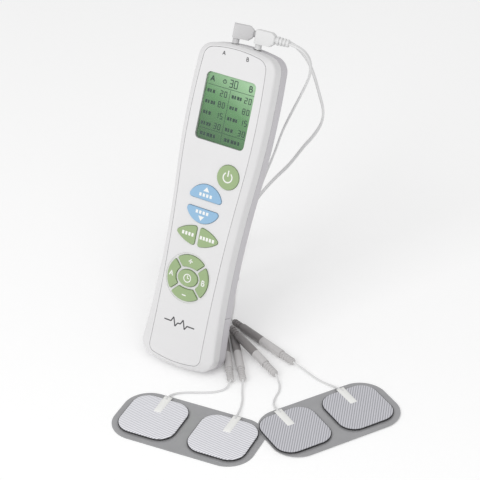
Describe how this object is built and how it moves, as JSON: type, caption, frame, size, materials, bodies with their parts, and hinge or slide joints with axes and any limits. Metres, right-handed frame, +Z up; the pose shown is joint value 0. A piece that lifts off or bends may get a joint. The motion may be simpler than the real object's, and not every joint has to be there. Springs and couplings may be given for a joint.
{
  "type": "tens unit",
  "caption": "Hand-held nerve stimulator leaning back on a fold-out stand, with display, spring keys, plug-in twin leads, pin connectors and square electrode pads on liner cards",
  "frame": {"origin": "on the table, under the middle of the handset and the pads", "axes": "+Z up; the camera side is -Y, the handset's face looks towards -X -Y and leans back"},
  "size_m": [0.1763, 0.2614, 0.2039],
  "materials": {
    "case_white": "satin white moulding",
    "case_side": "satin white moulding, slightly greyer",
    "clear_lens": "clear window",
    "lcd_green": "green liquid crystal panel",
    "inner_white": "diffuser",
    "key_rubber": "matte",
    "board_green": "solder mask",
    "dark_plastic": "matte",
    "steel": "nickel plated",
    "cell_wrap": "printed sleeve",
    "plug_grey": "soft moulding",
    "plug_white": "soft moulding",
    "lead_white": "smooth",
    "connector_grey": "satin",
    "liner_film": "translucent film",
    "gel": "tacky, over black carbon",
    "carbon_black": "matte",
    "pad_fabric": "fine diagonal rib",
    "key_green": "satin",
    "key_blue": "satin"
  },
  "bodies": {
    "base": {"backlight_panel": "inner_white", "batteries": "cell_wrap", "battery_contacts": "steel", "battery_springs": "steel", "battery_tray": "dark_plastic", "board_chips": "dark_plastic", "board_screws": "steel", "branch_wire_1": "lead_white", "branch_wire_2": "lead_white", "branch_wire_3": "lead_white", "branch_wire_4": "lead_white", "buzzer": "dark_plastic", "case_screws": "steel", "circuit_board": "board_green", "coil_ties": "dark_plastic", "display_lens": "clear_lens", "face_plate": "case_white", "front_shell": "case_white", "jack_socket_a": "dark_plastic", "jack_socket_b": "dark_plastic", "key_mat": "key_rubber", "lcd_panel": "lcd_green", "lead_a": "lead_white", "lead_b": "lead_white", "lead_coil_a": "lead_white", "lead_coil_b": "lead_white", "lead_yokes": "plug_white", "liner_card_left": "liner_film", "liner_card_right": "liner_film", "output_transformers": "dark_plastic", "pad_covers": "pad_fabric", "pad_films": "carbon_black", "pad_gels": "gel", "pigtail_1": "lead_white", "pigtail_2": "lead_white", "pigtail_3": "lead_white", "pigtail_4": "lead_white", "pigtail_sockets": "connector_grey", "pin_contacts": "steel", "pin_handles": "connector_grey", "plug_a": "plug_grey", "plug_b": "plug_white", "plug_pin_a": "steel", "plug_pin_b": "steel", "rear_shell": "case_side", "stand_pin": "steel"},
    "door": {"battery_door": "case_side"},
    "stand": {"rear_stand": "case_side"},
    "button_channel_a": {"key_channel_a": "key_green"},
    "button_channel_b": {"key_channel_b": "key_green"},
    "button_mode_down": {"key_mode_down": "key_blue"},
    "button_mode_up": {"key_mode_up": "key_blue"},
    "button_power": {"key_power": "key_green"},
    "button_speed_down": {"key_speed_down": "key_green"},
    "button_speed_up": {"key_speed_up": "key_green"},
    "button_strong": {"key_strong": "key_green"},
    "button_time": {"key_time": "key_green"},
    "button_weak": {"key_weak": "key_green"}
  },
  "joints": [
    {"name": "channel_a_press", "type": "slide", "parent": "base", "child": "button_channel_a", "axis": [0.4896, 0.7835, -0.3827], "range_m": [0, 0.0007], "stiffness_N_per_m": 600, "springref_m": -0.0003},
    {"name": "channel_b_press", "type": "slide", "parent": "base", "child": "button_channel_b", "axis": [0.4896, 0.7835, -0.3827], "range_m": [0, 0.0007], "stiffness_N_per_m": 600, "springref_m": -0.0003},
    {"name": "mode_down_press", "type": "slide", "parent": "base", "child": "button_mode_down", "axis": [0.4896, 0.7835, -0.3827], "range_m": [0, 0.0007], "stiffness_N_per_m": 600, "springref_m": -0.0003},
    {"name": "mode_up_press", "type": "slide", "parent": "base", "child": "button_mode_up", "axis": [0.4896, 0.7835, -0.3827], "range_m": [0, 0.0007], "stiffness_N_per_m": 600, "springref_m": -0.0003},
    {"name": "power_press", "type": "slide", "parent": "base", "child": "button_power", "axis": [0.4896, 0.7835, -0.3827], "range_m": [0, 0.0007], "stiffness_N_per_m": 600, "springref_m": -0.0003},
    {"name": "speed_down_press", "type": "slide", "parent": "base", "child": "button_speed_down", "axis": [0.4896, 0.7835, -0.3827], "range_m": [0, 0.0007], "stiffness_N_per_m": 600, "springref_m": -0.0003},
    {"name": "speed_up_press", "type": "slide", "parent": "base", "child": "button_speed_up", "axis": [0.4896, 0.7835, -0.3827], "range_m": [0, 0.0007], "stiffness_N_per_m": 600, "springref_m": -0.0003},
    {"name": "strong_press", "type": "slide", "parent": "base", "child": "button_strong", "axis": [0.4896, 0.7835, -0.3827], "range_m": [0, 0.0007], "stiffness_N_per_m": 600, "springref_m": -0.0003},
    {"name": "time_press", "type": "slide", "parent": "base", "child": "button_time", "axis": [0.4896, 0.7835, -0.3827], "range_m": [0, 0.0007], "stiffness_N_per_m": 600, "springref_m": -0.0003},
    {"name": "weak_press", "type": "slide", "parent": "base", "child": "button_weak", "axis": [0.4896, 0.7835, -0.3827], "range_m": [0, 0.0007], "stiffness_N_per_m": 600, "springref_m": -0.0003},
    {"name": "door_slide", "type": "slide", "parent": "base", "child": "door", "axis": [-0.2028, -0.3245, -0.9239], "range_m": [0, 0.038]},
    {"name": "stand_hinge", "type": "hinge", "parent": "base", "child": "stand", "pos_m": [-0.0301, 0.04812, 0.08016], "axis": [-0.848, 0.5299, 0], "range_deg": [0, 27.77]}
  ]
}
